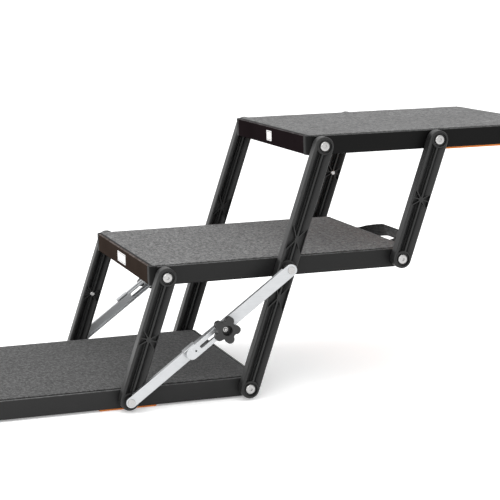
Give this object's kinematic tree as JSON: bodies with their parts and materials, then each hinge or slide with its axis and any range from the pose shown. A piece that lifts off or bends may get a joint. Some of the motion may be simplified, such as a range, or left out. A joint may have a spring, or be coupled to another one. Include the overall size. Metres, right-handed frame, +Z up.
{
  "type": "dog ramp",
  "caption": "Folding dog stair with carpeted steps on parallel links, knee struts with star knobs, and rubber pads for ground and vehicle.",
  "frame": {"origin": "centre of the bottom step's footprint, on the underside of its rubber pad", "axes": "+X is the way up the stair, +Y is the climber's left, +Z is up"},
  "size_m": [0.9562, 0.513, 0.412],
  "materials": {
    "coated_rail": "satin black powder coat on aluminium",
    "cap_plastic": "black moulded plastic, fine grain",
    "deck_panel": "black plastic panel",
    "felt_carpet": "heather grey needle felt",
    "bare_aluminium": "mill finish",
    "zinc_steel": "bright zinc plated",
    "spacer_nylon": "black nylon",
    "link_plastic": "glass filled black plastic, satin",
    "strut_aluminium": "satin anodised",
    "knob_plastic": "black moulded plastic",
    "orange_rubber": "orange rubber",
    "label_vinyl": "plain white vinyl",
    "webbing": "black woven webbing",
    "bracket_steel": "black painted steel"
  },
  "bodies": {
    "bottom_step": {"bottom_carpet": "felt_carpet", "bottom_corner_caps": "cap_plastic", "bottom_cross_bars": "bare_aluminium", "bottom_deck": "deck_panel", "bottom_front_rail": "coated_rail", "bottom_left_rail": "coated_rail", "bottom_pivot_bolts": "zinc_steel", "bottom_pivot_nuts": "zinc_steel", "bottom_pivot_spacers": "spacer_nylon", "bottom_rear_rail": "coated_rail", "bottom_right_rail": "coated_rail", "ground_pad": "orange_rubber"},
    "middle_step": {"middle_carpet": "felt_carpet", "middle_corner_caps": "cap_plastic", "middle_cross_bars": "bare_aluminium", "middle_deck": "deck_panel", "middle_front_rail": "coated_rail", "middle_label": "label_vinyl", "middle_left_rail": "coated_rail", "middle_pivot_bolts": "zinc_steel", "middle_pivot_nuts": "zinc_steel", "middle_pivot_spacers": "spacer_nylon", "middle_rear_rail": "coated_rail", "middle_right_rail": "coated_rail", "carry_strap": "webbing", "strap_brackets": "bracket_steel"},
    "top_step": {"top_carpet": "felt_carpet", "top_corner_caps": "cap_plastic", "top_cross_bars": "bare_aluminium", "top_deck": "deck_panel", "top_front_rail": "coated_rail", "top_label": "label_vinyl", "top_left_rail": "coated_rail", "top_pivot_bolts": "zinc_steel", "top_pivot_nuts": "zinc_steel", "top_pivot_spacers": "spacer_nylon", "top_rear_rail": "coated_rail", "top_right_rail": "coated_rail", "vehicle_pad": "orange_rubber"},
    "lower_links": {"lower_link_bushes": "spacer_nylon", "lower_link_left": "link_plastic", "lower_link_right": "link_plastic", "lower_link_rivets": "zinc_steel"},
    "upper_links": {"upper_link_bushes": "spacer_nylon", "upper_link_left": "link_plastic", "upper_link_right": "link_plastic", "upper_link_rivets": "zinc_steel"},
    "long_links": {"long_link_bushes": "spacer_nylon", "long_link_left": "link_plastic", "long_link_right": "link_plastic"},
    "strut_lower": {"strut_lower_bar_left": "strut_aluminium", "strut_lower_bar_right": "strut_aluminium", "strut_clamp_nuts": "zinc_steel"},
    "strut_upper": {"strut_upper_bar_left": "strut_aluminium", "strut_upper_bar_right": "strut_aluminium", "strut_stop_plates": "strut_aluminium"},
    "knob_left": {"knob_left": "knob_plastic", "knob_screw_left": "zinc_steel"},
    "knob_right": {"knob_right": "knob_plastic", "knob_screw_right": "zinc_steel"}
  },
  "joints": [
    {"name": "fold", "type": "hinge", "parent": "bottom_step", "child": "long_links", "pos_m": [0.195, 0, 0.018], "axis": [0, -1, 0], "range_deg": [0, 98.6]},
    {"name": "middle_step_pivot", "type": "hinge", "parent": "long_links", "child": "middle_step", "pos_m": [0.2611, 0, 0.20676], "axis": [0, -1, 0], "range_deg": [-99.1, 0.5]},
    {"name": "top_step_pivot", "type": "hinge", "parent": "long_links", "child": "top_step", "pos_m": [0.32721, 0, 0.39552], "axis": [0, -1, 0], "range_deg": [-99.1, 0.5]},
    {"name": "lower_link_pivot", "type": "hinge", "parent": "bottom_step", "child": "lower_links", "pos_m": [0, 0, 0.018], "axis": [0, -1, 0], "range_deg": [-0.5, 99.1]},
    {"name": "upper_link_pivot", "type": "hinge", "parent": "middle_step", "child": "upper_links", "pos_m": [0.4561, 0, 0.20676], "axis": [0, -1, 0], "range_deg": [-0.5, 99.1]},
    {"name": "strut_lower_pivot", "type": "hinge", "parent": "bottom_step", "child": "strut_lower", "pos_m": [0, 0, 0.018], "axis": [0, -1, 0], "range_deg": [-0.5, 135.55]},
    {"name": "strut_upper_pivot", "type": "hinge", "parent": "middle_step", "child": "strut_upper", "pos_m": [0.2611, 0, 0.20676], "axis": [0, -1, 0], "range_deg": [-30.37, 0.5]},
    {"name": "knob_left_turn", "type": "hinge", "parent": "strut_upper", "child": "knob_left", "pos_m": [0.14765, 0.2335, 0.12474], "axis": [0, 1, 0], "range_deg": [0, 360]},
    {"name": "knob_right_turn", "type": "hinge", "parent": "strut_upper", "child": "knob_right", "pos_m": [0.14765, -0.2335, 0.12474], "axis": [0, -1, 0], "range_deg": [0, 360]}
  ],
  "couplings": [
    {"joint": "middle_step_pivot", "follows": "fold", "ratio": -1},
    {"joint": "top_step_pivot", "follows": "fold", "ratio": -1},
    {"joint": "lower_link_pivot", "follows": "fold", "ratio": 1},
    {"joint": "upper_link_pivot", "follows": "fold", "ratio": 1},
    {"joint": "strut_lower_pivot", "follows": "fold", "ratio": 1.3697},
    {"joint": "strut_upper_pivot", "follows": "fold", "ratio": -0.3029}
  ]
}
